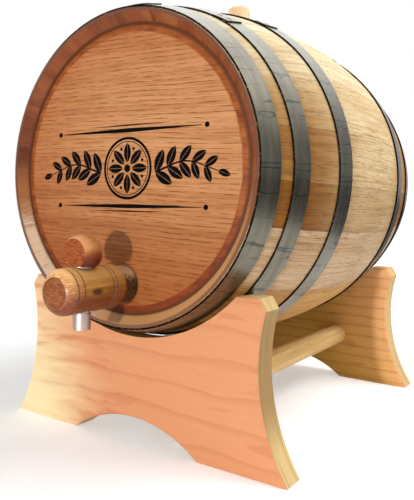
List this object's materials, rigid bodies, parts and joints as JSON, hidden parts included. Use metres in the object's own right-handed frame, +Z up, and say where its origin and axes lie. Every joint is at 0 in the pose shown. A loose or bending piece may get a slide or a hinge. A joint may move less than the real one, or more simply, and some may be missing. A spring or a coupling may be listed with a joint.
{
  "type": "cask dispenser",
  "caption": "Oak cask with steel hoops, a bung and a wooden spigot with a metal spout, lying on a two-plate cradle stand.",
  "frame": {"origin": "on the floor, in the middle of the whole part's footprint box", "axes": "+Y along the cask's axis towards its closed end, the tapped head faces -Y, +Z up, +X to the right seen from the tap"},
  "size_m": [0.21, 0.296, 0.2804],
  "materials": {
    "oak_stave": "bare planed oak",
    "oak_head": "warm orange brown oak",
    "dark_hoop": "blackened steel, satin",
    "bung_wood": "bare light wood",
    "spigot_wood": "waxed turned wood",
    "liner": "off white, matte",
    "spout_metal": "satin",
    "pine": "bare planed pine"
  },
  "bodies": {
    "stand": {"stand_plate_front": "pine", "stand_plate_rear": "pine", "stretcher_left": "pine", "stretcher_right": "pine"},
    "cask": {"stave_01": "oak_stave", "stave_02": "oak_stave", "stave_03": "oak_stave", "stave_04": "oak_stave", "stave_05": "oak_stave", "stave_06": "oak_stave", "stave_07": "oak_stave", "stave_08": "oak_stave", "stave_09": "oak_stave", "stave_10": "oak_stave", "stave_11": "oak_stave", "stave_12": "oak_stave", "stave_13": "oak_stave", "stave_14": "oak_stave", "stave_15": "oak_stave", "stave_16": "oak_stave", "stave_17": "oak_stave", "head_front": "oak_head", "head_rear": "oak_head", "hoop_head_front": "dark_hoop", "hoop_head_rear": "dark_hoop", "hoop_quarter_front": "dark_hoop", "hoop_quarter_rear": "dark_hoop", "hoop_bilge_front": "dark_hoop", "hoop_bilge_rear": "dark_hoop", "hoop_rivets": "dark_hoop", "spigot_body": "spigot_wood", "spigot_liner": "liner"},
    "bung": {"bung": "bung_wood"},
    "spigot_key": {"key_tube": "spout_metal", "key_washer": "spout_metal", "key_knob": "spigot_wood"}
  },
  "joints": [
    {"name": "cask_lift", "type": "slide", "parent": "stand", "child": "cask", "axis": [0, 0, 1], "range_m": [0, 0.06]},
    {"name": "bung_lift", "type": "slide", "parent": "cask", "child": "bung", "axis": [0, 0, 1], "range_m": [0, 0.03]},
    {"name": "key_turn", "type": "hinge", "parent": "cask", "child": "spigot_key", "pos_m": [0, -0.1291, 0.0935], "axis": [0, 0, 1], "continuous": true}
  ]
}
